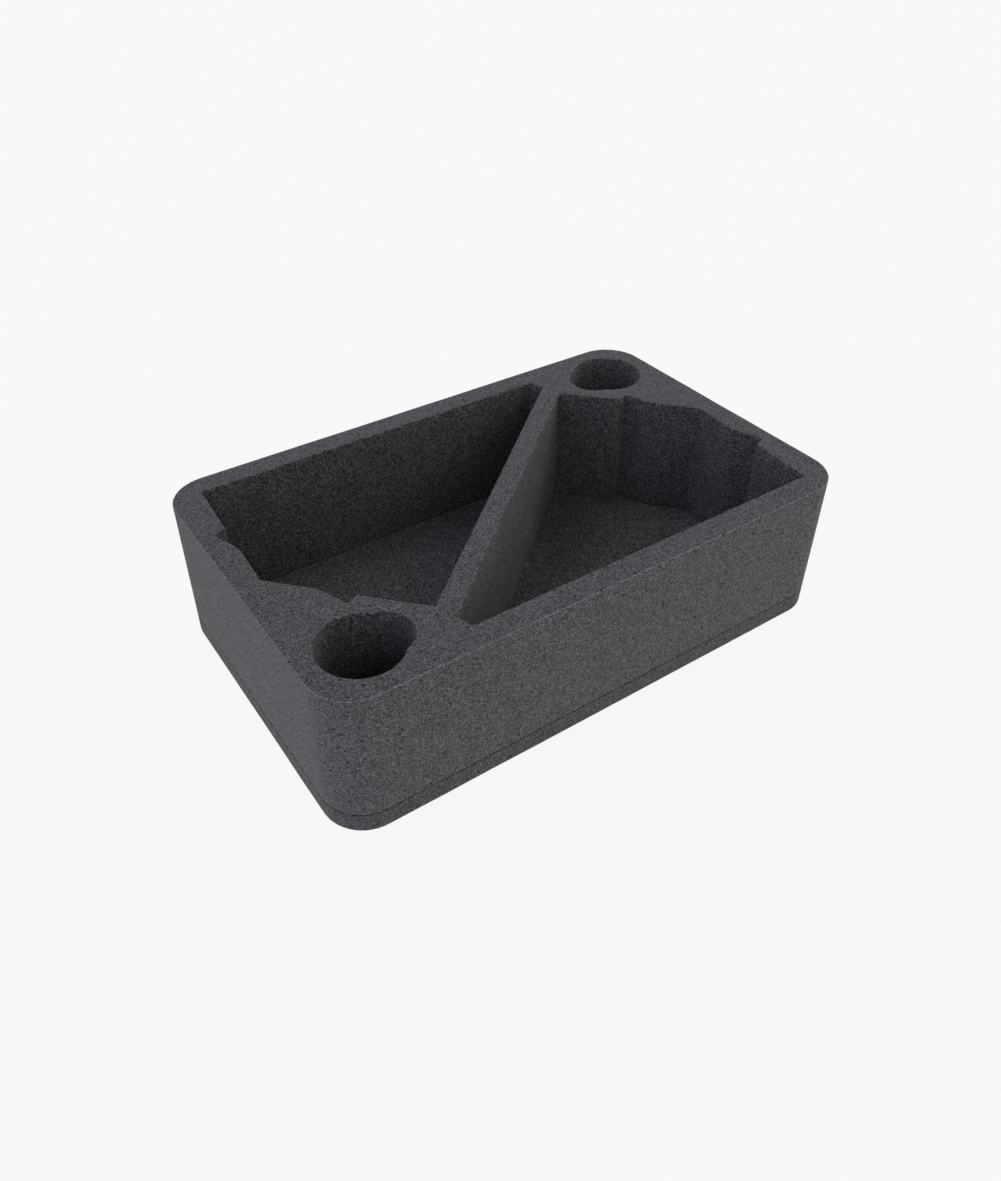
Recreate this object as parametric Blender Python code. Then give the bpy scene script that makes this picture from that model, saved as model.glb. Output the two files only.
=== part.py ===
"""Foam storage tray: a thick block with four pockets cut through it, glued onto a plain bottom sheet.

+X runs along the long side, +Y along the short side and +Z up. The origin is the centre of the
underside. Two pockets are long and pointed, side by side and pointing opposite ways, with a slanting
wall between them. The other two are round and stand in opposite corners. Each pocket has a twin,
half a turn round the tray's vertical centre line. All sizes are in metres and all angles in radians.
"""

import math

import bmesh
import bpy
from mathutils import Vector

# The tray's outline, seen from above.
TRAY_LENGTH = 0.275
TRAY_WIDTH = 0.1725
CORNER_RADIUS = 0.020

# The layers, from the bottom up. Touching layers keep TOUCH_GAP between their faces.
SHEET_THICKNESS = 0.0095
GLUE_THICKNESS = 0.0004
BLOCK_THICKNESS = 0.0645
TOUCH_GAP = 0.0003

# The round pockets: a circle, and a smaller one beside it that lets a fingertip in.
ROUND_RADIUS = 0.0184
ROUND_RIM = 0.0090
FINGER_RADIUS = 0.0130
FINGER_SHIFT = Vector((0.0104, 0.0007))

# The pointed pockets: two straight flanks that spread from a blunt point to a stepped, swept stern.
LONG_RIM = 0.01215
SHORT_RIM = 0.0078
DIVIDER_THICKNESS = 0.0102
POINT_WIDTH = 0.0083
STERN_WIDTH = 0.078
STERN_STEP = 0.00645
STERN_FLAT = 0.0156
STERN_SWEEP = math.radians(23.3)
STERN_FILLET = 0.017

# The walls between a pointed pocket and the round ones: least at its stern, and along X at its point.
STERN_WEB = 0.0065
POINT_WEB = 0.0068

# How finely round stretches are divided, and how far a cutter runs past the faces that it cuts.
CORNER_STEPS = 14
CIRCLE_STEPS = 64
FILLET_STEPS = 5
CUTTER_OVERRUN = 0.002


def clear_scene():
    """Remove every object that the file holds."""
    for item in list(bpy.data.objects):
        bpy.data.objects.remove(item, do_unlink=True)


def turned(angle):
    """The unit vector at an angle from +X."""
    return Vector((math.cos(angle), math.sin(angle)))


def arc(centre, radius, start, end, steps):
    """Points along an arc, both ends included."""
    angles = [start + (end - start) * step / steps for step in range(steps + 1)]
    return [centre + turned(angle) * radius for angle in angles]


def half_turn(outline):
    """The same outline after half a turn about the tray's centre."""
    return [-point for point in outline]


def tray_outline():
    """The tray's rounded rectangle, counter-clockwise from its lower left corner."""
    reach_x = TRAY_LENGTH / 2 - CORNER_RADIUS
    reach_y = TRAY_WIDTH / 2 - CORNER_RADIUS
    outline = []
    for quarter, (side_x, side_y) in enumerate(((-1, -1), (1, -1), (1, 1), (-1, 1))):
        centre = Vector((side_x * reach_x, side_y * reach_y))
        start = math.pi + quarter * math.pi / 2
        outline += arc(centre, CORNER_RADIUS, start, start + math.pi / 2, CORNER_STEPS)
    return outline


def round_circles():
    """Centre and radius of the two circles of the round pocket in the lower left corner."""
    inset = ROUND_RIM + ROUND_RADIUS
    centre = Vector((inset - TRAY_LENGTH / 2, inset - TRAY_WIDTH / 2))
    return ((centre, ROUND_RADIUS), (centre + FINGER_SHIFT, FINGER_RADIUS))


def round_outline():
    """The two circles as one outline, changing from one to the other where they cross."""
    (centre, radius), (finger_centre, finger_radius) = round_circles()
    apart = (finger_centre - centre).length
    towards = math.atan2(FINGER_SHIFT.y, FINGER_SHIFT.x)
    crossing = (radius**2 - finger_radius**2 + apart**2) / (2 * apart)
    opening = math.acos(crossing / radius)
    finger_opening = math.acos((crossing - apart) / finger_radius)
    outer = arc(centre, radius, towards + opening, towards + 2 * math.pi - opening, CIRCLE_STEPS)
    finger = arc(
        finger_centre, finger_radius, towards - finger_opening, towards + finger_opening, CIRCLE_STEPS // 2
    )
    return outer + finger[1:-1]


def filleted(before, corner, after, radius, steps):
    """Points that round off one corner of an outline."""
    way_in = (corner - before).normalized()
    way_out = (after - corner).normalized()
    bend = way_in.angle(way_out)
    inward = (way_out - way_in).normalized()
    centre = corner + inward * radius / math.cos(bend / 2)
    middle = math.atan2(-inward.y, -inward.x)
    half_turned = bend / 2 if way_in.cross(way_out) > 0 else -bend / 2
    return arc(centre, radius, middle - half_turned, middle + half_turned, steps)


class PointedPocket:
    """The pointed pocket along the upper long side, in its own coordinates.

    reach runs from the blunt point along the pocket's axis to the stern, and spread runs across it,
    positive on the side of the tray's long side.
    """

    def __init__(self):
        far_circles = [(-centre, radius) for centre, radius in round_circles()]
        round_edge = min(centre.x - radius for centre, radius in far_circles)
        # The flanks' own lines meet here: one is the long rim's, the other is the divider's face.
        meeting = Vector((round_edge - POINT_WEB, TRAY_WIDTH / 2 - LONG_RIM))
        from_centre = math.acos(DIVIDER_THICKNESS / 2 / meeting.length)
        self.divider_angle = from_centre - math.atan2(meeting.x, meeting.y)
        self.half_angle = self.divider_angle / 2
        self.forward = turned(self.half_angle)
        self.across = turned(self.half_angle + math.pi / 2)
        self.point = meeting - self.forward * (POINT_WIDTH / 2 / math.tan(self.half_angle))
        self.stern_drop = (STERN_WIDTH / 2 - STERN_FLAT) * math.tan(STERN_SWEEP)
        self.stern_reach = self.longest_reach()

    def place(self, reach, spread):
        """The tray's coordinates of a place in the pocket."""
        return self.point - self.forward * reach + self.across * spread

    def longest_reach(self):
        """Distance from the point to the stern's inner corners, as long as every wall allows."""
        room = self.point.x + TRAY_LENGTH / 2 - SHORT_RIM
        half_stern = STERN_WIDTH / 2
        limits = []
        for spread, behind in ((half_stern, STERN_STEP), (0.0, STERN_STEP + self.stern_drop)):
            to_short_rim = (room - spread * math.sin(self.half_angle)) / math.cos(self.half_angle)
            limits.append(to_short_rim - behind)
        for centre, radius in round_circles():
            reach = (self.point - centre).dot(self.forward)
            spread = (centre - self.point).dot(self.across)
            clear = radius + STERN_WEB
            beside = spread + half_stern
            limits.append(reach - (clear + beside * math.sin(STERN_SWEEP)) / math.cos(STERN_SWEEP))
            if abs(beside) < clear:
                limits.append(reach - math.sqrt(clear**2 - beside**2) - STERN_STEP)
        return min(limits)

    def shoulder(self):
        """Reach and spread of the corner where a flank meets the stern's swept edge."""
        sweep = math.tan(STERN_SWEEP)
        slope = math.tan(self.half_angle)
        swept_start = self.stern_reach + STERN_WIDTH / 2 * sweep
        spread = (POINT_WIDTH / 2 + swept_start * slope) / (1 + sweep * slope)
        return swept_start - spread * sweep, spread

    def half_stern(self):
        """Reach and spread of each stern point on one side, from the shoulder to the middle."""
        inner = self.stern_reach
        outer = inner + STERN_STEP
        edge = STERN_WIDTH / 2
        bend = Vector((outer, edge - STERN_FLAT))
        middle = Vector((outer + self.stern_drop, 0.0))
        rounded = filleted(Vector((outer, edge)), bend, middle, STERN_FILLET, FILLET_STEPS)
        return [self.shoulder(), (inner, edge), (outer, edge)] + [tuple(point) for point in rounded]

    def outline(self):
        """The pocket's outline, counter-clockwise from the long rim's side of the point."""
        side = self.half_stern()
        middle = (self.stern_reach + STERN_STEP + self.stern_drop, 0.0)
        other_side = [(reach, -spread) for reach, spread in reversed(side)]
        half_point = POINT_WIDTH / 2
        stations = [(0.0, half_point)] + side + [middle] + other_side + [(0.0, -half_point)]
        return [self.place(reach, spread) for reach, spread in stations]


def make_material(name, colour, roughness):
    """A plain non-metallic material."""
    material = bpy.data.materials.new(name)
    material.use_nodes = True
    shader = material.node_tree.nodes["Principled BSDF"]
    shader.inputs["Base Color"].default_value = (*colour, 1.0)
    shader.inputs["Roughness"].default_value = roughness
    shader.inputs["Metallic"].default_value = 0.0
    material.diffuse_color = (*colour, 1.0)
    return material


def make_prism(name, outline, bottom, top):
    """An object with a flat outline raised from one height to another, its round walls smooth."""
    shape = bmesh.new()
    corners = [shape.verts.new((point.x, point.y, 0.0)) for point in outline]
    floor = shape.faces.new(corners)
    raised = bmesh.ops.extrude_face_region(shape, geom=[floor])
    lifted = [item for item in raised["geom"] if isinstance(item, bmesh.types.BMVert)]
    bmesh.ops.translate(shape, verts=lifted, vec=(0.0, 0.0, top - bottom))
    bmesh.ops.recalc_face_normals(shape, faces=shape.faces)
    mesh = bpy.data.meshes.new(name)
    shape.to_mesh(mesh)
    shape.free()
    mesh.shade_smooth()
    mesh.set_sharp_from_angle(angle=math.radians(15))
    prism = bpy.data.objects.new(name, mesh)
    prism.location.z = bottom
    bpy.context.scene.collection.objects.link(prism)
    return prism


def make_cutters(bottom, top):
    """One guide object for each of the four pockets, running past both heights."""
    pointed = PointedPocket().outline()
    rounded = round_outline()
    outlines = {
        "pointed_pocket_guide_1": pointed,
        "pointed_pocket_guide_2": half_turn(pointed),
        "round_pocket_guide_1": rounded,
        "round_pocket_guide_2": half_turn(rounded),
    }
    cutters = []
    for name, outline in outlines.items():
        cutter = make_prism(name, outline, bottom - CUTTER_OVERRUN, top + CUTTER_OVERRUN)
        cutter.display_type = "WIRE"
        cutter.hide_render = True
        cutters.append(cutter)
    return cutters


def cut(layer, cutters):
    """Cut the pockets through a layer."""
    for cutter in cutters:
        modifier = layer.modifiers.new(cutter.name, "BOOLEAN")
        modifier.operation = "DIFFERENCE"
        modifier.solver = "EXACT"
        modifier.object = cutter


def main():
    clear_scene()
    glue_bottom = SHEET_THICKNESS + TOUCH_GAP
    glue_top = glue_bottom + GLUE_THICKNESS
    block_bottom = glue_top + TOUCH_GAP
    block_top = block_bottom + BLOCK_THICKNESS

    tray = bpy.data.objects.new("tray_centre", None)
    bpy.context.scene.collection.objects.link(tray)
    outline = tray_outline()
    sheet = make_prism("base_sheet", outline, 0.0, SHEET_THICKNESS)
    glue = make_prism("glue_layer", outline, glue_bottom, glue_top)
    block = make_prism("foam_block", outline, block_bottom, block_top)
    cutters = make_cutters(glue_bottom, block_top)
    cut(glue, cutters)
    cut(block, cutters)

    sheet.data.materials.append(make_material("base_foam", (0.072, 0.074, 0.079), 0.95))
    glue.data.materials.append(make_material("dried_glue", (0.045, 0.046, 0.050), 0.70))
    block.data.materials.append(make_material("block_foam", (0.080, 0.082, 0.087), 0.95))
    for item in [sheet, glue, block] + cutters:
        item.parent = tray


main()
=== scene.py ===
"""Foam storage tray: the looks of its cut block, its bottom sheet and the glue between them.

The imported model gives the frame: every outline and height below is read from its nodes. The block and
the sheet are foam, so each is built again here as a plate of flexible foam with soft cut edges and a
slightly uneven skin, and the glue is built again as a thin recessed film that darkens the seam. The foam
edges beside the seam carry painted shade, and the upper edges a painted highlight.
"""

import math

import bpy
import numpy as np
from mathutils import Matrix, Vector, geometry


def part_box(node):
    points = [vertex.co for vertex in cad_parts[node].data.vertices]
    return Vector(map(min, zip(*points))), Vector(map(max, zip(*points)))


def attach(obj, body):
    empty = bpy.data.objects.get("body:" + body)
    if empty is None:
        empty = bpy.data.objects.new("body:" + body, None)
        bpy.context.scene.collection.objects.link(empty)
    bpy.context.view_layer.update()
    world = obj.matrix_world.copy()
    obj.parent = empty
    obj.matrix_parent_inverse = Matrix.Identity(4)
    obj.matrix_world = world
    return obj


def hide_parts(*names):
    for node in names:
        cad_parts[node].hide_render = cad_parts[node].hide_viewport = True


bl_info = {
    "name": "Foam Storage Tray",
    "version": (1, 0, 0),
    "blender": (4, 5, 0),
    "location": "View3D > Sidebar > Foam Tray",
    "description": "Builds a cut foam tray on a bottom sheet, with its seam, its materials and a plain stage",
    "category": "Add Mesh",
}

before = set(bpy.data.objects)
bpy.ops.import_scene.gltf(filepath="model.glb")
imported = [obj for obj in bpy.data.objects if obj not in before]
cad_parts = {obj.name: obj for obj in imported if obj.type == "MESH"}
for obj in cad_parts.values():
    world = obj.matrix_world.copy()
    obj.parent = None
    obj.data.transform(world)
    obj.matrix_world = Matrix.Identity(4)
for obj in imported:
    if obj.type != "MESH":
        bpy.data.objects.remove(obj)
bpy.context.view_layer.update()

# A bend sharper than this in an outline is a real corner, and a gentler one is a step along an arc.
SHARP_BEND = math.radians(20)

# How far evening draws each point to the middle of its neighbours and then back, and how many times.
SMOOTHING_PULLS = (0.5, -0.53)
SMOOTHING_ROUNDS = 6

# Shading breaks where two faces meet at more than this.
SHARP_FOLD = math.radians(38)

# Points along the quarter round of each edge.
ROUND_POINTS = 5

# Cells along each side of the noise's lattice before it repeats.
NOISE_LATTICE = 48

# Inner grid points keep at least this share of the grid's spacing from the walls' rings.
RING_CLEARANCE = 0.7

# Decimals of a metre that tell one CAD corner from another.
CORNER_DECIMALS = 6

# Metres within which two heights, or two points of a flat face, are the same.
SAME_HEIGHT = 1e-5
SAME_POINT = 1e-9

# The soft lights: name, azimuth from +X, elevation, strength and colour.
SOFT_LIGHTS = (
    ("left_light", math.radians(180), math.radians(38), 0.26, "#C4D2FF"),
    ("front_light", math.radians(-90), math.radians(38), 0.26, "#FFFFFF"),
    ("right_light", math.radians(0), math.radians(38), 0.61, "#FFFFFF"),
    ("back_light", math.radians(120), math.radians(64), 0.61, "#FFFFFF"),
)


# Colour and number helpers


def linear(hex_code):
    """Linear RGBA of an sRGB hex colour: each channel is divided by 12.92 near black, else a 2.4 power."""
    srgb = np.array([int(hex_code[start : start + 2], 16) for start in (1, 3, 5)]) / 255
    value = np.where(srgb <= 0.04045, srgb / 12.92, ((srgb + 0.055) / 1.055) ** 2.4)
    return (*value.tolist(), 1.0)


def smooth_noise(points, wavelength, seed):
    """Value noise from -1 to 1: random values on a cubic lattice, blended along each axis by smoothstep."""
    table = np.random.default_rng(seed).uniform(-1, 1, (NOISE_LATTICE,) * 3)
    place = points / wavelength + NOISE_LATTICE
    cell = np.floor(place).astype(int)
    part = place - cell
    part = part * part * (3 - 2 * part)
    total = np.zeros(len(points))
    for bits in np.ndindex(2, 2, 2):
        corner = (cell + bits) % NOISE_LATTICE
        weight = np.where(bits, part, 1 - part).prod(axis=1)
        total += weight * table[corner[:, 0], corner[:, 1], corner[:, 2]]
    return total


# Outlines, read from the frame


def top_outlines(node):
    """The closed outlines of a CAD plate's upper face, as (x, y) arrays with the material on their left.

    Of the triangles that lie in the upper face, the edges with no twin run along an outline.
    """
    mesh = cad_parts[node].data
    corners = np.empty(len(mesh.vertices) * 3)
    mesh.vertices.foreach_get("co", corners)
    triangles = np.empty(len(mesh.loops), int)
    mesh.loops.foreach_get("vertex_index", triangles)
    rounded = np.round(corners.reshape(-1, 3), CORNER_DECIMALS)
    points, merged = np.unique(rounded, axis=0, return_inverse=True)
    triangles = merged.reshape(-1)[triangles].reshape(-1, 3)
    upper = (points[triangles][:, :, 2] > points[:, 2].max() - SAME_HEIGHT).all(axis=1)
    edges = triangles[upper][:, [0, 1, 1, 2, 2, 0]].reshape(-1, 2)
    codes = edges[:, 0] * len(points) + edges[:, 1]
    twins = edges[:, 1] * len(points) + edges[:, 0]
    following = dict(edges[~np.isin(codes, twins)].tolist())
    outlines = []
    while following:
        start, point = following.popitem()
        outline = [start]
        while point != start:
            outline.append(point)
            point = following.pop(point)
        outlines.append(points[outline, :2])
    return sorted(outlines, key=lambda outline: -np.ptp(outline[:, 0]))


def inward(outline):
    """How each point moves when every edge moves one unit into the material.

    It is the mitre of the left normals of the point's two edges: twice their sum over its squared length.
    """
    ahead = np.roll(outline, -1, axis=0) - outline
    ahead /= np.linalg.norm(ahead, axis=1, keepdims=True)
    left = np.column_stack((-ahead[:, 1], ahead[:, 0]))
    both = left + np.roll(left, 1, axis=0)
    return 2 * both / (both**2).sum(axis=1, keepdims=True)


def evened(outline, step):
    """An outline cut into steps of even length, its arcs smoothed and its sharp corners left in place.

    Each edge is divided evenly. Then the points between corners are drawn towards the middle of their
    neighbours and pushed back a little further, by turns, which rounds facets without shrinking arcs.
    """
    edge = np.roll(outline, -1, axis=0) - outline
    heading = np.unwrap(np.arctan2(edge[:, 1], edge[:, 0]))
    bend = np.angle(np.exp(1j * (heading - np.roll(heading, 1))))
    parts = np.maximum(1, np.round(np.linalg.norm(edge, axis=1) / step)).astype(int)
    first = np.cumsum(parts) - parts
    share = (np.arange(parts.sum()) - np.repeat(first, parts)) / np.repeat(parts, parts)
    points = np.repeat(outline, parts, axis=0) + np.repeat(edge, parts, axis=0) * share[:, None]
    free = np.ones((len(points), 1))
    free[first[np.abs(bend) > SHARP_BEND]] = 0
    for pull in SMOOTHING_PULLS * SMOOTHING_ROUNDS:
        middle = (np.roll(points, 1, axis=0) + np.roll(points, -1, axis=0)) / 2
        points = points + pull * free * (middle - points)
    return points


def inside(points, outline):
    """Which points an outline goes round: a ray from them along +X crosses it an odd number of times."""
    here = outline
    there = np.roll(outline, -1, axis=0)
    x, y = points[:, :1], points[:, 1:]
    spans = (here[:, 1] > y) != (there[:, 1] > y)
    rise = np.where(here[:, 1] == there[:, 1], 1.0, there[:, 1] - here[:, 1])
    crossing = here[:, 0] + (y - here[:, 1]) / rise * (there[:, 0] - here[:, 0])
    return (spans & (x < crossing)).sum(axis=1) % 2 == 1


# Plates of foam and glue


def plate_profile(bottom, top, bottom_radius, top_radius, step):
    """Insets and heights up a plate's wall: a quarter round, even steps up the face, a quarter round."""
    turn = np.linspace(0, math.pi / 2, ROUND_POINTS)
    faces = max(1, round((top - bottom) / step))
    rise = np.linspace(bottom + bottom_radius, top - top_radius, faces + 1)[1:-1]
    low_inset = bottom_radius * (1 - np.sin(turn))
    high_inset = top_radius * (1 - np.cos(turn))
    low = bottom + bottom_radius * (1 - np.cos(turn))
    high = top - top_radius * (1 - np.sin(turn))
    return np.concatenate((low_inset, rise * 0, high_inset)), np.concatenate((low, rise, high))


def on_plate(points, rings):
    """Which points lie inside the first ring and outside the others."""
    in_pocket = np.zeros(len(points), bool)
    for ring in rings[1:]:
        in_pocket |= inside(points, ring)
    return inside(points, rings[0]) & ~in_pocket


def plate_cap(rings, spacing):
    """Points and triangles that fill the flat face between rings.

    A staggered grid of points covers the face clear of its rings, and a constrained Delaunay
    triangulation joins them. Triangles whose middle lies in a pocket are left out.
    """
    border = np.concatenate(rings)
    low, high = rings[0].min(axis=0), rings[0].max(axis=0)
    columns = np.arange(low[0], high[0], spacing)
    rows = np.arange(low[1], high[1], spacing * math.sin(math.pi / 3))
    x, y = np.meshgrid(columns, rows)
    x = x + (np.arange(len(rows)) % 2)[:, None] * spacing / 2
    grid = np.column_stack((x.ravel(), y.ravel()))
    grid = grid[on_plate(grid, rings)]
    apart = np.abs((grid[:, :1] + 1j * grid[:, 1:]) - (border[:, 0] + 1j * border[:, 1])).min(axis=1)
    points = np.concatenate((border, grid[apart > spacing * RING_CLEARANCE]))
    edges = []
    first = 0
    for ring in rings:
        number = np.arange(len(ring))
        edges += (first + np.column_stack((number, np.roll(number, -1)))).tolist()
        first += len(ring)
    found = geometry.delaunay_2d_cdt(points.tolist(), edges, [], 0, SAME_POINT)
    source = np.array([origins[0] for origins in found[3]])
    triangles = source[np.array(found[2])]
    return points[len(border) :], triangles[on_plate(points[triangles].mean(axis=1), rings)]


def make_plate(name, outlines, bottom, top, radii, tones, step, spacing, waves, finishes=(0, 0, 0, 0)):
    """A flat plate with pockets through it, from its outer outline first and then its pockets'.

    The profile of each wall is carried round its outline: point plus inset times the mitre direction,
    at the profile's height. The upper and lower faces are filled between the walls' last and first
    rings. Every point then moves by a small smooth noise vector, one for each (size, wavelength) in waves.
    The attribute of painted edge highlight and shade follows the round of each edge as the sine of twice
    its angle, times the lower or upper value that tones gives for that outline: a painted highlight on
    upper edges and painted shade on the edges at the glue seam. The finishes are the material slots of the
    outer wall, the pocket walls, the lower face and the upper face.
    """
    points, faces, toned, first_rings, last_rings, ring_numbers = [], [], [], [], [], []
    ends = []
    count = 0
    along_round = np.sin(np.linspace(0, math.pi, ROUND_POINTS))
    for outline, (bottom_radius, top_radius), (bottom_tone, top_tone) in zip(outlines, radii, tones):
        inset, height = plate_profile(bottom, top, bottom_radius, top_radius, step)
        flat = outline[:, None] + inward(outline)[:, None] * inset[:, None]
        upright = np.broadcast_to(height[:, None], (*flat.shape[:2], 1))
        points.append(np.concatenate((flat, upright), axis=2).reshape(-1, 3))
        # Painted highlight and painted shade over the round of each edge.
        along_profile = np.zeros(len(height))
        along_profile[:ROUND_POINTS] = bottom_tone * along_round
        along_profile[-ROUND_POINTS:] = top_tone * along_round
        toned.append(np.tile(along_profile, len(flat)))
        number = count + np.arange(flat.shape[0] * flat.shape[1]).reshape(flat.shape[:2])
        beside = np.roll(number, -1, axis=0)
        quads = np.stack((number[:, :-1], beside[:, :-1], beside[:, 1:], number[:, 1:]), axis=2)
        faces += quads.reshape(-1, 4).tolist()
        ends.append(len(faces))
        first_rings.append(flat[:, 0])
        last_rings.append(flat[:, -1])
        ring_numbers.append((number[:, 0], number[:, -1]))
        count += number.size
    for rings, side, height in ((first_rings, 0, bottom), (last_rings, 1, top)):
        grid, triangles = plate_cap(rings, spacing)
        number = np.concatenate([numbers[side] for numbers in ring_numbers] + [count + np.arange(len(grid))])
        triangles = number[triangles]
        faces += (triangles if side else triangles[:, ::-1]).tolist()
        ends.append(len(faces))
        points.append(np.column_stack((grid, np.full(len(grid), height))))
        toned.append(np.zeros(len(grid)))
        count += len(grid)
    points = np.concatenate(points)
    moved = np.zeros_like(points)
    for seed, (size, wavelength) in enumerate(waves):
        seeds = range(3 * seed, 3 * seed + 3)
        moved += size * np.column_stack([smooth_noise(points, wavelength, each) for each in seeds])
    mesh = bpy.data.meshes.new(name)
    mesh.from_pydata((points + moved).tolist(), [], faces)
    parts = np.diff([0, ends[0], *ends[-3:]])
    mesh.polygons.foreach_set("material_index", np.repeat(finishes, parts).astype(np.int32))
    mesh.attributes.new("painted_edge_highlight_and_shade", "FLOAT", "POINT").data.foreach_set("value", np.concatenate(toned))
    mesh.shade_smooth()
    mesh.set_sharp_from_angle(angle=SHARP_FOLD)
    plate = bpy.data.objects.new(name, mesh)
    bpy.context.scene.collection.objects.link(plate)
    return plate


# Materials


def add(tree, kind, values=(), links=(), **settings):
    """Add one node: its own settings, its sockets' values by name, and the links that come into it."""
    node = tree.nodes.new(kind)
    for setting, value in settings.items():
        setattr(node, setting, value)
    for socket, value in dict(values).items():
        node.inputs[socket].default_value = value
    for socket, source in dict(links).items():
        tree.links.new(source, node.inputs[socket])
    return node


def new_material(name):
    """A material with an empty tree, and that tree."""
    material = bpy.data.materials.new(name)
    material.use_nodes = True
    material.node_tree.nodes.clear()
    return material, material.node_tree


def foam_material(name, colour, foam, grain_contrast_factor):
    """Flexible polyurethane foam, slabstock dyed charcoal and cut: open cells that look matt and grainy.

    The cut opens cells of every depth, so each cell has a tone of its own: some end in a bright rim of
    cell wall and some in a dark hollow. The colour and the bump both follow the cells, and the contrast
    factor says how strongly the colour does. For the pockets' copies it is raised: that stronger grain is
    painted shade, standing in for the cells' relief showing more in the pockets' dim light. The real cells
    are about 0.3 mm wide, too fine to show, so they are drawn 0.55 mm wide. A few blown cells show as small
    dark pores, whose dark is painted shade from deep inside them, and wide soft patches vary the tone a
    little. The skin has no gloss, only a faint sheen from the rims.
    """
    material, tree = new_material(name)
    place = add(tree, "ShaderNodeTexCoord").outputs["Object"]
    cells = add(tree, "ShaderNodeTexVoronoi", {"Scale": 1 / foam.cell_size}, {"Vector": place})
    grain = add(
        tree,
        "ShaderNodeTexNoise",
        {"Scale": 1 / foam.grain_size, "Detail": 2.0, "Roughness": 0.7},
        {"Vector": place},
    ).outputs["Fac"]
    patches = add(
        tree,
        "ShaderNodeTexNoise",
        {"Scale": 1 / foam.patch_size, "Detail": 2.0, "Roughness": 0.5},
        {"Vector": place},
    ).outputs["Fac"]
    blown = add(tree, "ShaderNodeTexVoronoi", {"Scale": 1 / foam.pore_spacing}, {"Vector": place})
    pore_radius = foam.pore_size / 2 / foam.pore_spacing
    pore = add(
        tree,
        "ShaderNodeMapRange",
        {"From Min": pore_radius, "From Max": pore_radius * 0.6, "To Min": 0.0, "To Max": 1.0},
        {"Value": blown.outputs["Distance"]},
        interpolation_type="SMOOTHSTEP",
    ).outputs["Result"]

    # Tone of the skin: one of its own for each cell, a grain across the cells, a slow drift between
    # patches, and the edges' own: a painted highlight along the upper edges and painted shade on the edges
    # beside the glue seam.
    # Raised above one for the pockets' copies: the stronger grain there is painted shade.
    contrast = foam.contrast * grain_contrast_factor
    chance = add(tree, "ShaderNodeSeparateColor", (), {"Color": cells.outputs["Color"]}).outputs["Red"]
    from_cells = add(
        tree,
        "ShaderNodeMapRange",
        {"From Min": 0.0, "From Max": 1.0, "To Min": 1 - contrast, "To Max": 1 + contrast},
        {"Value": chance},
    ).outputs["Result"]
    from_grain = add(
        tree,
        "ShaderNodeMapRange",
        {"From Min": 0.3, "From Max": 0.7, "To Min": 1 - contrast, "To Max": 1 + contrast},
        {"Value": grain},
    ).outputs["Result"]
    from_patches = add(
        tree,
        "ShaderNodeMapRange",
        {"From Min": 0.3, "From Max": 0.7, "To Min": 1 - foam.patchiness, "To Max": 1 + foam.patchiness},
        {"Value": patches},
    ).outputs["Result"]
    fine = add(tree, "ShaderNodeMath", (), {0: from_cells, 1: from_grain}, operation="MULTIPLY")
    drift = add(tree, "ShaderNodeMath", (), {0: fine.outputs[0], 1: from_patches}, operation="MULTIPLY")
    # Painted highlight on the upper edges and painted shade at the glue seam.
    edge = add(tree, "ShaderNodeAttribute", attribute_name="painted_edge_highlight_and_shade").outputs["Fac"]
    tone = add(tree, "ShaderNodeMath", (), {0: drift.outputs[0], 1: edge}, operation="ADD")
    above_black = add(tree, "ShaderNodeMath", {1: 0.05}, {0: tone.outputs[0]}, operation="MAXIMUM")
    skin = add(tree, "ShaderNodeHueSaturation", {"Color": colour}, {"Value": above_black.outputs[0]})
    # Painted shade in the blown cells.
    final = add(
        tree,
        "ShaderNodeMix",
        {"B": foam.pore_shade_colour},
        {"Factor": pore, "A": skin.outputs["Color"]},
        data_type="RGBA",
    ).outputs["Result"]

    # Relief: opened cells a fraction of a millimetre deep, and the blown ones deeper.
    opened = add(tree, "ShaderNodeMath", (), {0: cells.outputs["Distance"], 1: grain}, operation="ADD")
    relief = add(tree, "ShaderNodeMath", (), {0: opened.outputs[0], 1: pore}, operation="SUBTRACT")
    bump = add(
        tree,
        "ShaderNodeBump",
        {"Strength": 0.4, "Distance": foam.cell_size * foam.cell_depth},
        {"Height": relief.outputs[0]},
    )
    shader = add(
        tree,
        "ShaderNodeBsdfPrincipled",
        {
            "Roughness": 0.95,
            "IOR": 1.45,
            "Specular IOR Level": 0.2,
            "Sheen Weight": 0.08,
            "Sheen Roughness": 0.6,
        },
        {"Base Color": final, "Normal": bump.outputs["Normal"]},
    )
    add(tree, "ShaderNodeOutputMaterial", (), {"Surface": shader.outputs["BSDF"]})
    return material


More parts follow.
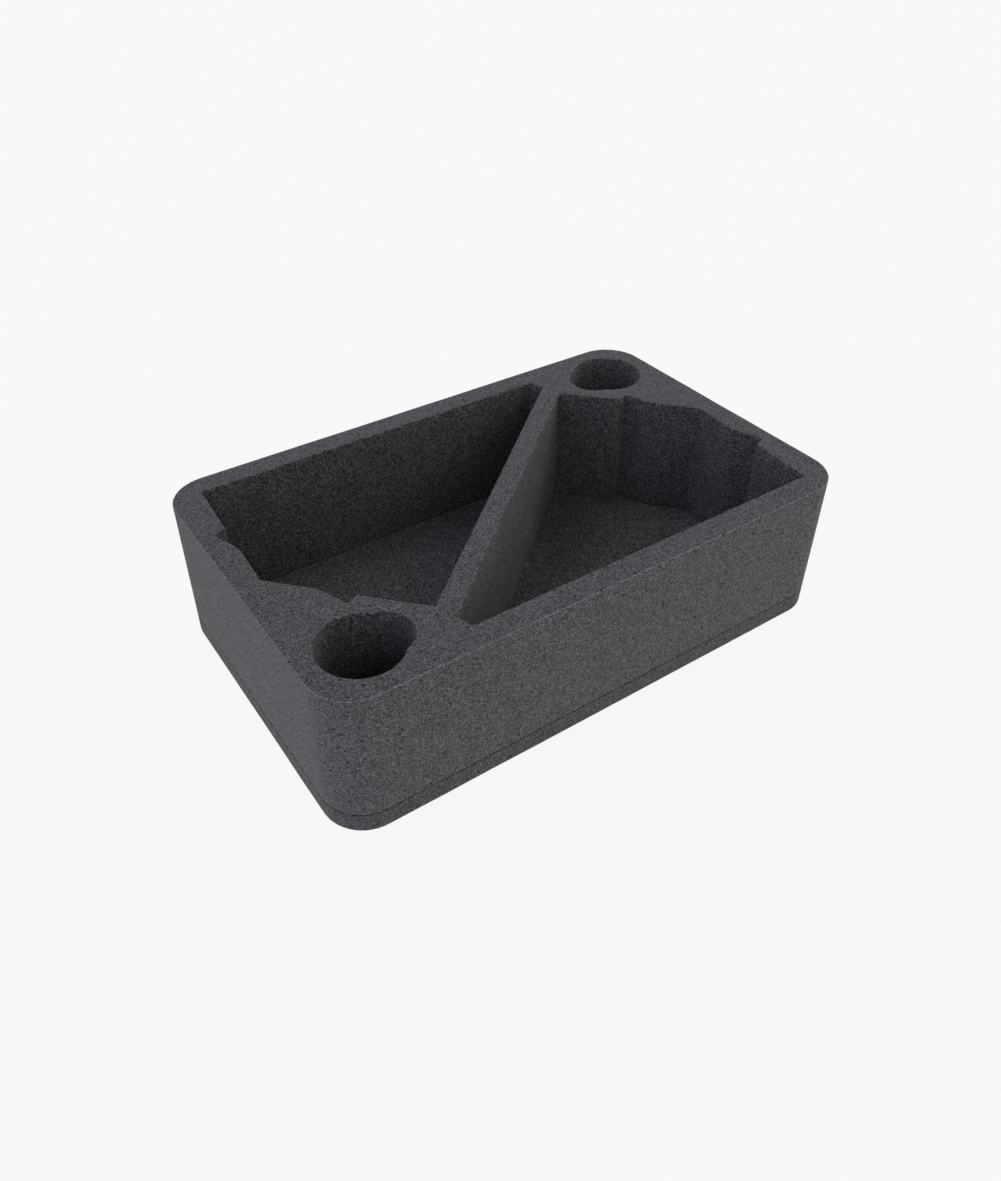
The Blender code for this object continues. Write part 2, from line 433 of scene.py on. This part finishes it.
def glue_material(glue):
    """Contact adhesive, sprayed on and dried: a dark rubbery film with a faint shine and small blobs."""
    material, tree = new_material("contact_adhesive_sprayed")
    place = add(tree, "ShaderNodeTexCoord").outputs["Object"]
    blobs = add(
        tree,
        "ShaderNodeTexNoise",
        {"Scale": 1 / glue.blob_size, "Detail": 3.0, "Roughness": 0.6},
        {"Vector": place},
    ).outputs["Fac"]
    lifted = tuple(channel * 1.7 for channel in glue.colour[:3])
    film = add(tree, "ShaderNodeValToRGB", (), {"Fac": blobs})
    film.color_ramp.elements[0].position = 0.38
    film.color_ramp.elements[0].color = tuple(glue.colour)
    film.color_ramp.elements[1].position = 0.66
    film.color_ramp.elements[1].color = (*lifted, 1.0)
    bump = add(
        tree,
        "ShaderNodeBump",
        {"Strength": 0.4, "Distance": glue.thickness * 0.8},
        {"Height": blobs},
    )
    shader = add(
        tree,
        "ShaderNodeBsdfPrincipled",
        {"Roughness": 0.55, "IOR": 1.5, "Specular IOR Level": 0.4},
        {"Base Color": film.outputs["Color"], "Normal": bump.outputs["Normal"]},
    )
    add(tree, "ShaderNodeOutputMaterial", (), {"Surface": shader.outputs["BSDF"]})
    return material


def floor_material(stage):
    """Seamless studio paper, evenly lit: most of its brightness is its own glow, so that it stays even."""
    material, tree = new_material("studio_paper_lit")
    matt = add(tree, "ShaderNodeBsdfDiffuse", {"Color": stage.floor_colour})
    glow = add(tree, "ShaderNodeEmission", {"Color": stage.floor_colour, "Strength": stage.glow_strength})
    both = add(
        tree,
        "ShaderNodeMixShader",
        {"Fac": stage.floor_glow},
        {1: matt.outputs[0], 2: glow.outputs[0]},
    )
    add(tree, "ShaderNodeOutputMaterial", (), {"Surface": both.outputs[0]})
    return material


# Settings


class TRAY_PG_foam(bpy.types.PropertyGroup):
    """Sizes and colours of the foam block and the bottom sheet."""

    block_colour: bpy.props.FloatVectorProperty(
        name="Block Colour",
        description="Base colour of the cut block",
        subtype="COLOR",
        size=4,
        default=linear("#4B4C4F"),
    )
    sheet_colour: bpy.props.FloatVectorProperty(
        name="Sheet Colour",
        description="Base colour of the bottom sheet",
        subtype="COLOR",
        size=4,
        default=linear("#444548"),
    )
    # The pocket walls get a copy of the block's foam in the same colour. Only its grain contrast differs, and
    # that is painted shade.
    pocket_colour: bpy.props.FloatVectorProperty(
        name="Pocket Colour",
        description="Base colour of the freshly cut pocket walls",
        subtype="COLOR",
        size=4,
        default=linear("#4B4C4F"),
    )
    # Painted light: the sheet's face in the pockets gets a tone slightly lighter than the sheet's walls, set
    # to the light in the pockets.
    floor_colour: bpy.props.FloatVectorProperty(
        name="Pocket Floor Colour",
        description="Base colour of the sheet where it closes the pockets",
        subtype="COLOR",
        size=4,
        default=linear("#47484B"),
    )
    # Painted shade: the dark deep inside a blown cell, where little light reaches.
    pore_shade_colour: bpy.props.FloatVectorProperty(
        name="Pore Colour",
        description="Colour deep inside a blown cell",
        subtype="COLOR",
        size=4,
        default=linear("#0B0C0D"),
    )
    cell_size: bpy.props.FloatProperty(
        name="Cell Size", description="Width of one foam cell", subtype="DISTANCE", default=0.00055
    )
    cell_depth: bpy.props.FloatProperty(
        name="Cell Depth", description="Depth of an open cell, as a share of its width", default=0.4, min=0
    )
    grain_size: bpy.props.FloatProperty(
        name="Grain Size",
        description="Width of the grain over the cells",
        subtype="DISTANCE",
        default=0.0006,
    )
    patch_size: bpy.props.FloatProperty(
        name="Patch Size", description="Width of soft patches of tone", subtype="DISTANCE", default=0.018
    )
    pore_size: bpy.props.FloatProperty(
        name="Pore Size", description="Width of a blown cell", subtype="DISTANCE", default=0.0015
    )
    pore_spacing: bpy.props.FloatProperty(
        name="Pore Spacing", description="Distance between blown cells", subtype="DISTANCE", default=0.0055
    )
    contrast: bpy.props.FloatProperty(
        name="Grain Contrast", description="Share by which cells vary the tone", default=0.7, min=0, max=1
    )
    # Painted shade: stronger grain contrast on the pockets' copies of the foam, in place of the cells' relief
    # showing more in the pockets' dim light.
    pocket_painted_shade_contrast: bpy.props.FloatProperty(
        name="Pocket Painted Shade Contrast", description="How much rougher the cut pockets look", default=1.4, min=0
    )
    # Painted highlight: lightens the round of the outer upper edge.
    painted_edge_highlight: bpy.props.FloatProperty(
        name="Edge Lift", description="How much lighter the outer upper edge is", default=1.0, min=0
    )
    # Painted highlight: lightens the pockets' upper edges a little.
    painted_pocket_rim_highlight: bpy.props.FloatProperty(
        name="Pocket Edge Lift", description="How much lighter the pockets' edges are", default=0.15, min=0
    )
    # Painted shade: darkens the foam edges on both sides of the glue seam, where shade falls in the gap.
    painted_seam_shade: bpy.props.FloatProperty(
        name="Painted Seam Shade",
        description="How much darker glue leaves the edges at the seam",
        default=0.2,
        min=0,
        max=1,
    )
    patchiness: bpy.props.FloatProperty(
        name="Patchiness", description="Share by which soft patches vary the tone", default=0.04, min=0, max=1
    )
    outer_edge: bpy.props.FloatProperty(
        name="Outer Edge",
        description="Radius of the tray's outer edges",
        subtype="DISTANCE",
        default=0.0006,
    )
    pocket_edge: bpy.props.FloatProperty(
        name="Pocket Edge",
        description="Radius of the pockets' cut edges",
        subtype="DISTANCE",
        default=0.00035,
    )
    seam_edge: bpy.props.FloatProperty(
        name="Seam Edge",
        description="Radius of the edges that meet the glue",
        subtype="DISTANCE",
        default=0.0003,
    )
    wave_size: bpy.props.FloatProperty(
        name="Wave Size",
        description="Height of slow waves in the skin",
        subtype="DISTANCE",
        default=0.00006,
    )
    wave_length: bpy.props.FloatProperty(
        name="Wave Length",
        description="Length of slow waves in the skin",
        subtype="DISTANCE",
        default=0.022,
    )
    ripple_size: bpy.props.FloatProperty(
        name="Ripple Size",
        description="Height of fine ripples in the skin",
        subtype="DISTANCE",
        default=0.00002,
    )
    ripple_length: bpy.props.FloatProperty(
        name="Ripple Length",
        description="Length of fine ripples in the skin",
        subtype="DISTANCE",
        default=0.0028,
    )
    mesh_step: bpy.props.FloatProperty(
        name="Mesh Step",
        description="Length of a mesh face along the walls",
        subtype="DISTANCE",
        default=0.0014,
    )
    cap_step: bpy.props.FloatProperty(
        name="Face Step",
        description="Length of a mesh face on flat faces",
        subtype="DISTANCE",
        default=0.0023,
    )


class TRAY_PG_glue(bpy.types.PropertyGroup):
    """Sizes and colour of the glue between the block and the sheet."""

    colour: bpy.props.FloatVectorProperty(
        name="Colour",
        description="Colour of the dried glue",
        subtype="COLOR",
        size=4,
        default=linear("#26272A"),
    )
    blob_size: bpy.props.FloatProperty(
        name="Blob Size", description="Width of the blobs in the film", subtype="DISTANCE", default=0.0012
    )
    thickness: bpy.props.FloatProperty(
        name="Thickness",
        description="Height of the film between the foams",
        subtype="DISTANCE",
        default=0.00025,
    )
    recess: bpy.props.FloatProperty(
        name="Recess",
        description="How far the film ends inside the seam",
        subtype="DISTANCE",
        default=0.0003,
    )
    face_step: bpy.props.FloatProperty(
        name="Face Step", description="Length of a mesh face on the film", subtype="DISTANCE", default=0.006
    )
    clearance: bpy.props.FloatProperty(
        name="Clearance",
        description="Gap between the film and each foam",
        subtype="DISTANCE",
        default=0.00008,
    )


class TRAY_PG_stage(bpy.types.PropertyGroup):
    """The floor, the lights and the camera."""

    floor_colour: bpy.props.FloatVectorProperty(
        name="Floor Colour",
        description="Colour of the seamless paper",
        subtype="COLOR",
        size=4,
        default=linear("#F8F8F8"),
    )
    floor_glow: bpy.props.FloatProperty(
        name="Floor Glow",
        description="Share of the paper's brightness that is even",
        default=0.94,
        min=0,
        max=1,
    )
    glow_strength: bpy.props.FloatProperty(
        name="Glow Strength", description="Strength of that even part", default=1.014, min=0
    )
    floor_size: bpy.props.FloatProperty(
        name="Floor Size", description="Side of the square of paper", subtype="DISTANCE", default=12.0
    )
    floor_gap: bpy.props.FloatProperty(
        name="Floor Gap", description="Gap between the tray and the paper", subtype="DISTANCE", default=0.0002
    )
    sky_strength: bpy.props.FloatProperty(
        name="Sky Strength", description="Brightness of the even light from above", default=0.33, min=0
    )
    horizon_strength: bpy.props.FloatProperty(
        name="Horizon Strength",
        description="Brightness that walls all round add low down",
        default=0.41,
        min=0,
    )
    light_softness: bpy.props.FloatProperty(
        name="Light Softness",
        description="Width of each soft light as the tray sees it",
        subtype="ANGLE",
        default=math.radians(30),
    )
    camera_place: bpy.props.FloatVectorProperty(
        name="Camera Place",
        description="Where the camera stands",
        subtype="XYZ",
        unit="LENGTH",
        size=3,
        default=(-0.2275, -0.3179, 0.3375),
    )
    camera_azimuth: bpy.props.FloatProperty(
        name="Camera Azimuth",
        description="Turn of the camera about +Z, from looking along +Y",
        subtype="ANGLE",
        default=math.radians(-34.13),
    )
    camera_elevation: bpy.props.FloatProperty(
        name="Camera Elevation",
        description="How far the camera looks down",
        subtype="ANGLE",
        default=math.radians(37.57),
    )
    camera_lens: bpy.props.FloatProperty(
        name="Camera Lens", description="Focal length in millimetres", default=30.353, min=1
    )
    camera_shift: bpy.props.FloatVectorProperty(
        name="Camera Shift",
        description="Sideways and upward shift of the view",
        size=2,
        default=(0.0127, -0.0362),
    )


# Pieces


def seam_heights(scene):
    """Heights of the glue film's lower and upper face, about the middle of the CAD glue layer."""
    low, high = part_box("glue_layer")
    middle = (low[2] + high[2]) / 2
    half = scene.tray_glue.thickness / 2
    return middle - half, middle + half


def foam_waves(foam):
    """The skin's unevenness, as (size, wavelength) pairs."""
    return ((foam.wave_size, foam.wave_length), (foam.ripple_size, foam.ripple_length))


class TRAY_OT_foam_block(bpy.types.Operator):
    """Build the thick foam block with its four pockets"""

    bl_idname = "tray.foam_block"
    bl_label = "Foam Block"

    def execute(self, context):
        foam = context.scene.tray_foam
        outlines = [evened(outline, foam.mesh_step) for outline in top_outlines("foam_block")]
        outlines[0] = outlines[0] + inward(outlines[0]) * foam.wave_size
        bottom = seam_heights(context.scene)[1] + context.scene.tray_glue.clearance
        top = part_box("foam_block")[1][2] - foam.wave_size
        radii = [(foam.seam_edge, foam.outer_edge)] + [(foam.seam_edge, foam.pocket_edge)] * len(outlines[1:])
        block = make_plate(
            "cut_foam_block",
            outlines,
            bottom,
            top,
            radii,
            # Painted shade on the edges at the glue seam, painted highlight on the outer and pocket upper
            # edges.
            [(-foam.painted_seam_shade, foam.painted_edge_highlight)] + [(-foam.painted_seam_shade, foam.painted_pocket_rim_highlight)] * len(outlines[1:]),
            foam.mesh_step,
            foam.cap_step,
            foam_waves(foam),
            finishes=(0, 1, 0, 0),
        )
        block.data.materials.append(foam_material("polyurethane_foam_cut", foam.block_colour, foam, 1.0))
        # The pockets' copy of the foam: the same colour, with stronger grain as painted shade.
        block.data.materials.append(
            foam_material("polyurethane_foam_pocket_painted_shade", foam.pocket_colour, foam, foam.pocket_painted_shade_contrast)
        )
        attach(block, "root")
        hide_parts("foam_block")
        return {"FINISHED"}


class TRAY_OT_bottom_sheet(bpy.types.Operator):
    """Build the plain foam sheet that closes the pockets from below"""

    bl_idname = "tray.bottom_sheet"
    bl_label = "Bottom Sheet"

    def execute(self, context):
        foam = context.scene.tray_foam
        outlines = [evened(outline, foam.mesh_step) for outline in top_outlines("base_sheet")]
        outlines[0] = outlines[0] + inward(outlines[0]) * foam.wave_size
        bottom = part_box("base_sheet")[0][2] + foam.wave_size
        top = seam_heights(context.scene)[0] - context.scene.tray_glue.clearance
        radii = [(foam.outer_edge, foam.seam_edge)]
        sheet = make_plate(
            "bottom_foam_sheet",
            outlines,
            bottom,
            top,
            radii,
            # Painted shade on the sheet's upper edge at the glue seam.
            [(0.0, -foam.painted_seam_shade)],
            foam.mesh_step,
            foam.cap_step,
            foam_waves(foam),
            finishes=(0, 0, 0, 1),
        )
        sheet.data.materials.append(foam_material("polyurethane_foam_sheet", foam.sheet_colour, foam, 1.0))
        # The pocket floors' copy of the sheet's foam: a lighter tone as painted light, and the pockets'
        # stronger grain as painted shade.
        sheet.data.materials.append(
            foam_material("polyurethane_foam_floor_painted_light_and_shade", foam.floor_colour, foam, foam.pocket_painted_shade_contrast)
        )
        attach(sheet, "root")
        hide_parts("base_sheet")
        return {"FINISHED"}


class TRAY_OT_glue_film(bpy.types.Operator):
    """Build the dried glue between the block and the sheet"""

    bl_idname = "tray.glue_film"
    bl_label = "Glue Film"

    def execute(self, context):
        foam = context.scene.tray_foam
        glue = context.scene.tray_glue
        outlines = [evened(outline, foam.mesh_step) for outline in top_outlines("glue_layer")]
        outlines = [outline + inward(outline) * glue.recess for outline in outlines]
        bottom, top = seam_heights(context.scene)
        edge = glue.thickness / 3
        radii = [(edge, edge)] * len(outlines)
        tones = [(0.0, 0.0)] * len(outlines)
        film = make_plate(
            "dried_glue_film",
            outlines,
            bottom,
            top,
            radii,
            tones,
            foam.mesh_step,
            glue.face_step,
            foam_waves(foam),
        )
        film.data.materials.append(glue_material(glue))
        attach(film, "root")
        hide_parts("glue_layer")
        return {"FINISHED"}


class TRAY_OT_stage(bpy.types.Operator):
    """Set up the floor, the lights and the camera"""

    bl_idname = "tray.stage"
    bl_label = "Stage"

    def execute(self, context):
        scene = context.scene
        stage = scene.tray_stage
        self.make_floor(scene, stage)
        self.make_sky(scene, stage)
        self.make_lights(scene, stage)
        self.make_camera(scene, stage)
        scene.view_settings.view_transform = "Standard"
        return {"FINISHED"}

    def make_floor(self, scene, stage):
        """A flat grid of paper just under the tray: x and y at even steps, z at the gap below it."""
        half = stage.floor_size / 2
        across = np.linspace(-half, half, 9)
        x, y = np.meshgrid(across, across)
        number = np.arange(x.size).reshape(x.shape)
        quads = np.stack((number[:-1, :-1], number[:-1, 1:], number[1:, 1:], number[1:, :-1]), axis=2)
        points = np.column_stack((x.ravel(), y.ravel(), np.full(x.size, -stage.floor_gap)))
        mesh = bpy.data.meshes.new("studio_floor")
        mesh.from_pydata(points.tolist(), [], quads.reshape(-1, 4).tolist())
        mesh.materials.append(floor_material(stage))
        floor = bpy.data.objects.new("studio_floor", mesh)
        scene.collection.objects.link(floor)

    def make_sky(self, scene, stage):
        """Light from all round: even from above, and brighter towards the horizon, as from pale walls."""
        world = bpy.data.worlds.new("studio_sky")
        world.use_nodes = True
        scene.world = world
        tree = world.node_tree
        tree.nodes.clear()
        towards = add(tree, "ShaderNodeTexCoord").outputs["Generated"]
        height = add(tree, "ShaderNodeSeparateXYZ", (), {"Vector": towards}).outputs["Z"]
        strength = add(
            tree,
            "ShaderNodeMapRange",
            {
                "From Min": 0.2,
                "From Max": 0.85,
                "To Min": stage.sky_strength + stage.horizon_strength,
                "To Max": stage.sky_strength,
            },
            {"Value": height},
            interpolation_type="SMOOTHSTEP",
        ).outputs["Result"]
        sky = add(tree, "ShaderNodeBackground", {"Color": linear("#FFFFFF")}, {"Strength": strength})
        add(tree, "ShaderNodeOutputWorld", (), {"Surface": sky.outputs["Background"]})

    def make_lights(self, scene, stage):
        """Wide soft lights, each aimed at the tray from its azimuth and elevation."""
        for name, azimuth, elevation, strength, colour in SOFT_LIGHTS:
            light = bpy.data.lights.new(name, "SUN")
            light.angle = stage.light_softness
            light.energy = strength
            light.color = linear(colour)[:3]
            lamp = bpy.data.objects.new(name, light)
            lamp.rotation_euler = (math.pi / 2 - elevation, 0, azimuth + math.pi / 2)
            scene.collection.objects.link(lamp)

    def make_camera(self, scene, stage):
        """The camera, standing at its place and looking down along its azimuth and elevation."""
        lens = bpy.data.cameras.new("product_camera")
        lens.sensor_width = 36
        lens.lens = stage.camera_lens
        lens.shift_x, lens.shift_y = stage.camera_shift
        lens.clip_start = 0.01
        lens.clip_end = 50
        camera = bpy.data.objects.new("product_camera", lens)
        camera.location = stage.camera_place
        camera.rotation_euler = (math.pi / 2 - stage.camera_elevation, 0, stage.camera_azimuth)
        scene.collection.objects.link(camera)
        scene.camera = camera


class TRAY_PT_sidebar(bpy.types.Panel):
    """Lists the tray's pieces and its settings"""

    bl_idname = "TRAY_PT_sidebar"
    bl_label = "Foam Tray"
    bl_space_type = "VIEW_3D"
    bl_region_type = "UI"
    bl_category = "Foam Tray"

    def draw(self, context):
        for maker in PIECE_MAKERS:
            self.layout.operator(maker.bl_idname)
        for group in SETTINGS:
            settings = getattr(context.scene, group)
            box = self.layout.box()
            for name in settings.__annotations__:
                box.prop(settings, name)


SETTINGS = {"tray_foam": TRAY_PG_foam, "tray_glue": TRAY_PG_glue, "tray_stage": TRAY_PG_stage}
PIECE_MAKERS = (TRAY_OT_foam_block, TRAY_OT_bottom_sheet, TRAY_OT_glue_film, TRAY_OT_stage)


def register():
    for kind in (*SETTINGS.values(), *PIECE_MAKERS, TRAY_PT_sidebar):
        bpy.utils.register_class(kind)
    for name, group in SETTINGS.items():
        setattr(bpy.types.Scene, name, bpy.props.PointerProperty(type=group))


def unregister():
    for name in SETTINGS:
        delattr(bpy.types.Scene, name)
    for kind in reversed((*SETTINGS.values(), *PIECE_MAKERS, TRAY_PT_sidebar)):
        bpy.utils.unregister_class(kind)


def main():
    register()
    bpy.ops.tray.foam_block()
    bpy.ops.tray.bottom_sheet()
    bpy.ops.tray.glue_film()
    bpy.ops.tray.stage()


if __name__ == "__main__":
    main()
